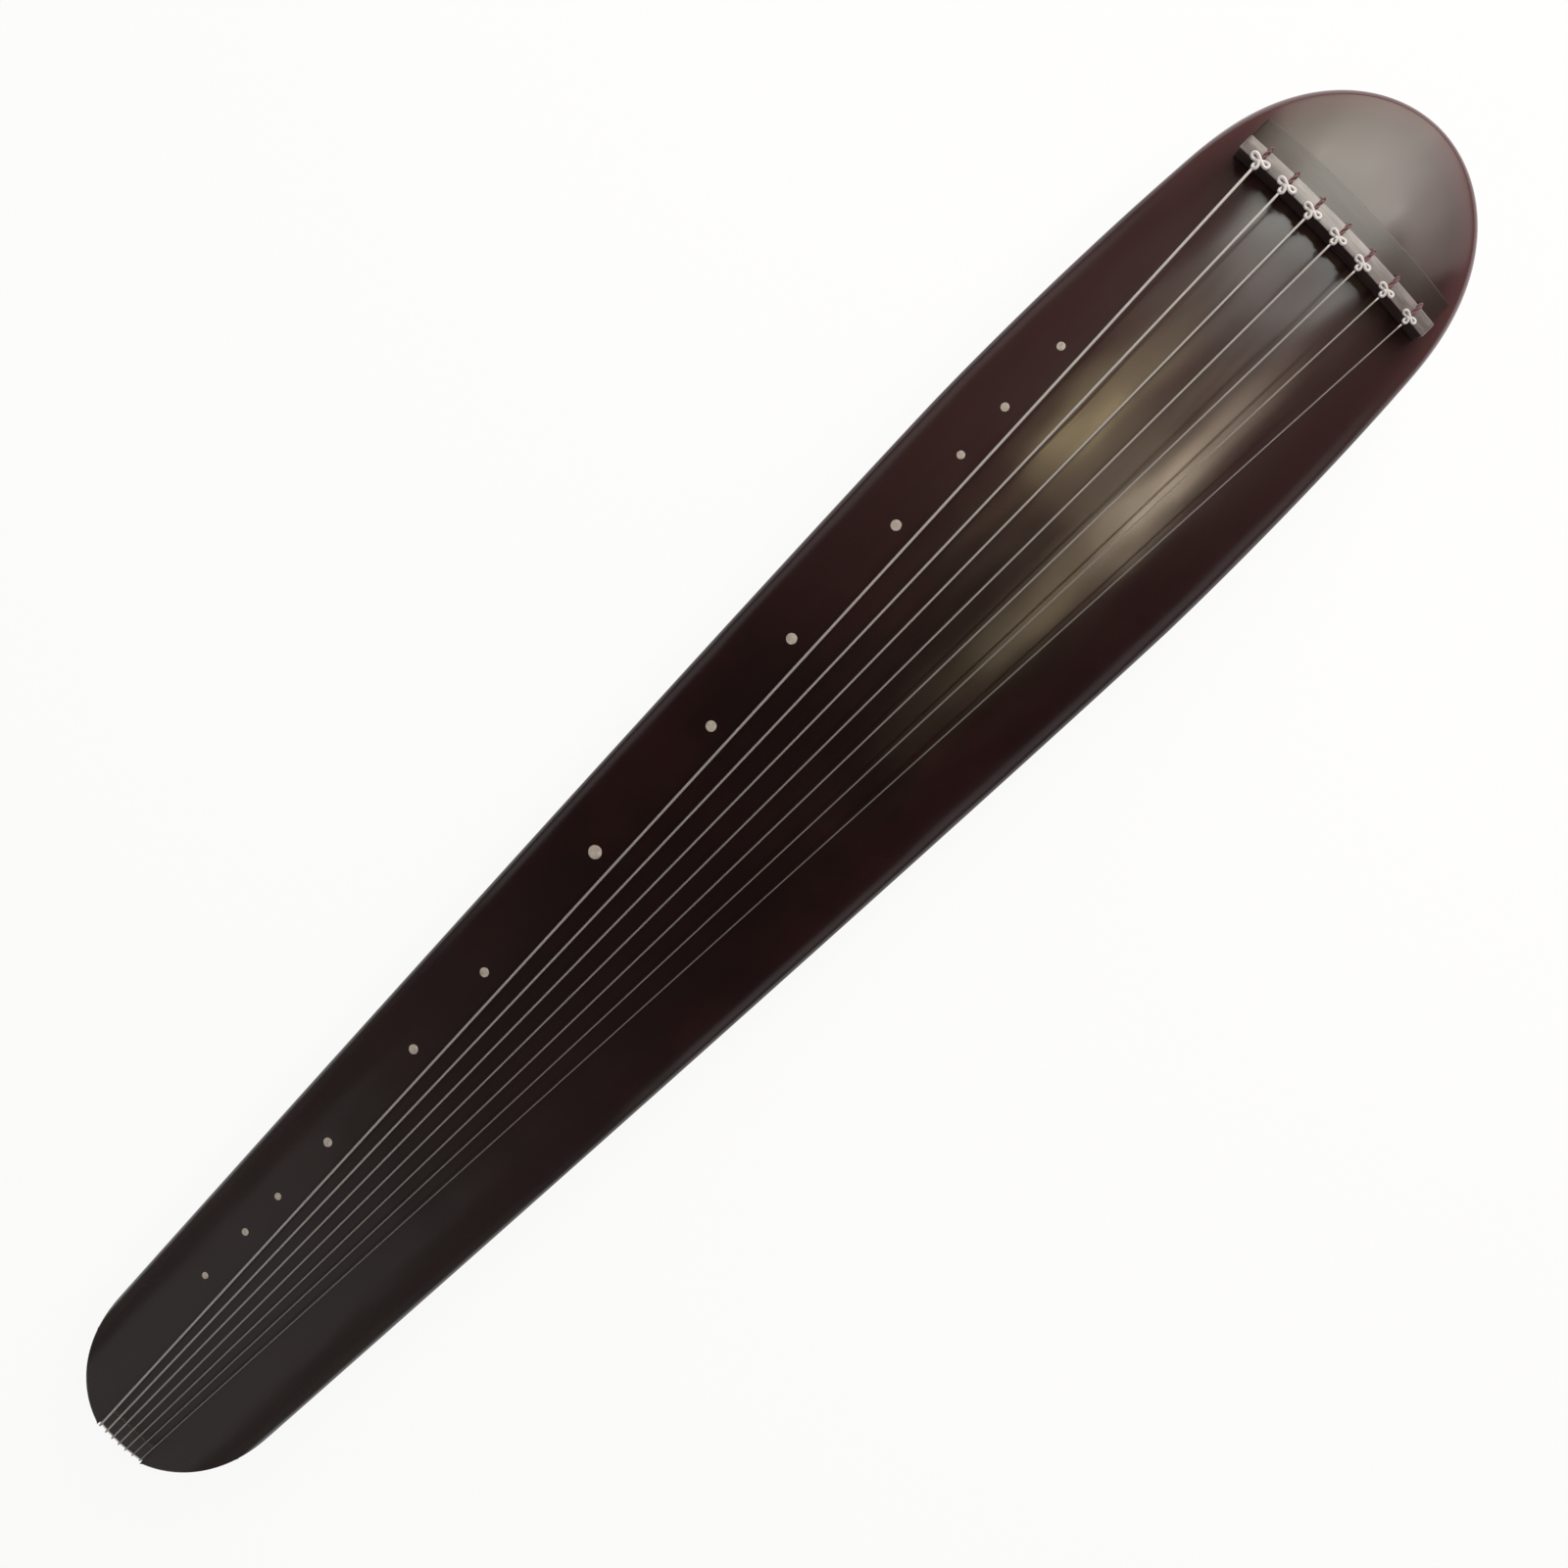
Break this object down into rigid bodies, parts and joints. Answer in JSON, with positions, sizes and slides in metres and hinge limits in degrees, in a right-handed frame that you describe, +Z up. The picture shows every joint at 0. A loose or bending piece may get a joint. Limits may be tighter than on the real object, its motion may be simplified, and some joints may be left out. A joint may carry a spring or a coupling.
{
  "type": "guqin",
  "caption": "Long plucked zither with an arched hollow lacquered body, a fan of strings over a bridge, inlaid studs, and turning pegs, feet and sound holes underneath.",
  "frame": {"origin": "on the ground, under the middle of the instrument's length and width", "axes": "+X to the head and the bridge, +Y to the studded side away from the player, +Z up"},
  "size_m": [1.218, 0.2, 0.1093],
  "materials": {
    "lacquer": "near-black maroon lacquer, satin",
    "hardwood": "dark hardwood, satin",
    "bare_wood": "bare planed wood, matte",
    "shell": "pale shell, satin",
    "string": "pale wound string, satin",
    "cord": "twisted dark red silk, matte"
  },
  "bodies": {
    "instrument": {"top_board": "lacquer", "bottom_board": "lacquer", "bridge": "hardwood", "cord_strip": "hardwood", "string_nut": "hardwood", "lower_gum": "hardwood", "crown_corner_outer": "hardwood", "crown_corner_inner": "hardwood", "peg_plate": "hardwood", "peg_guard_outer": "hardwood", "peg_guard_inner": "hardwood", "dragon_pool_rim": "hardwood", "phoenix_pond_rim": "hardwood", "goose_foot_outer": "hardwood", "goose_foot_inner": "hardwood", "foot_block_outer": "bare_wood", "foot_block_inner": "bare_wood", "round_sound_post": "bare_wood", "square_sound_post": "bare_wood", "stud_1": "shell", "stud_2": "shell", "stud_3": "shell", "stud_4": "shell", "stud_5": "shell", "stud_6": "shell", "stud_7": "shell", "stud_8": "shell", "stud_9": "shell", "stud_10": "shell", "stud_11": "shell", "stud_12": "shell", "stud_13": "shell", "string_1": "string", "string_2": "string", "string_3": "string", "string_4": "string", "string_5": "string", "string_6": "string", "string_7": "string", "tuning_cord_1": "cord", "tuning_cord_2": "cord", "tuning_cord_3": "cord", "tuning_cord_4": "cord", "tuning_cord_5": "cord", "tuning_cord_6": "cord", "tuning_cord_7": "cord"},
    "peg_1": {"tuning_peg_1": "hardwood"},
    "peg_2": {"tuning_peg_2": "hardwood"},
    "peg_3": {"tuning_peg_3": "hardwood"},
    "peg_4": {"tuning_peg_4": "hardwood"},
    "peg_5": {"tuning_peg_5": "hardwood"},
    "peg_6": {"tuning_peg_6": "hardwood"},
    "peg_7": {"tuning_peg_7": "hardwood"}
  },
  "joints": [
    {"name": "peg_1_turn", "type": "hinge", "parent": "instrument", "child": "peg_1", "pos_m": [0.5315, 0.06021, 0.03], "axis": [0, 0, 1], "continuous": true},
    {"name": "peg_2_turn", "type": "hinge", "parent": "instrument", "child": "peg_2", "pos_m": [0.5315, 0.04014, 0.03], "axis": [0, 0, 1], "continuous": true},
    {"name": "peg_3_turn", "type": "hinge", "parent": "instrument", "child": "peg_3", "pos_m": [0.5315, 0.02007, 0.03], "axis": [0, 0, 1], "continuous": true},
    {"name": "peg_4_turn", "type": "hinge", "parent": "instrument", "child": "peg_4", "pos_m": [0.5315, 0, 0.03], "axis": [0, 0, 1], "continuous": true},
    {"name": "peg_5_turn", "type": "hinge", "parent": "instrument", "child": "peg_5", "pos_m": [0.5315, -0.02007, 0.03], "axis": [0, 0, 1], "continuous": true},
    {"name": "peg_6_turn", "type": "hinge", "parent": "instrument", "child": "peg_6", "pos_m": [0.5315, -0.04014, 0.03], "axis": [0, 0, 1], "continuous": true},
    {"name": "peg_7_turn", "type": "hinge", "parent": "instrument", "child": "peg_7", "pos_m": [0.5315, -0.06021, 0.03], "axis": [0, 0, 1], "continuous": true}
  ]
}
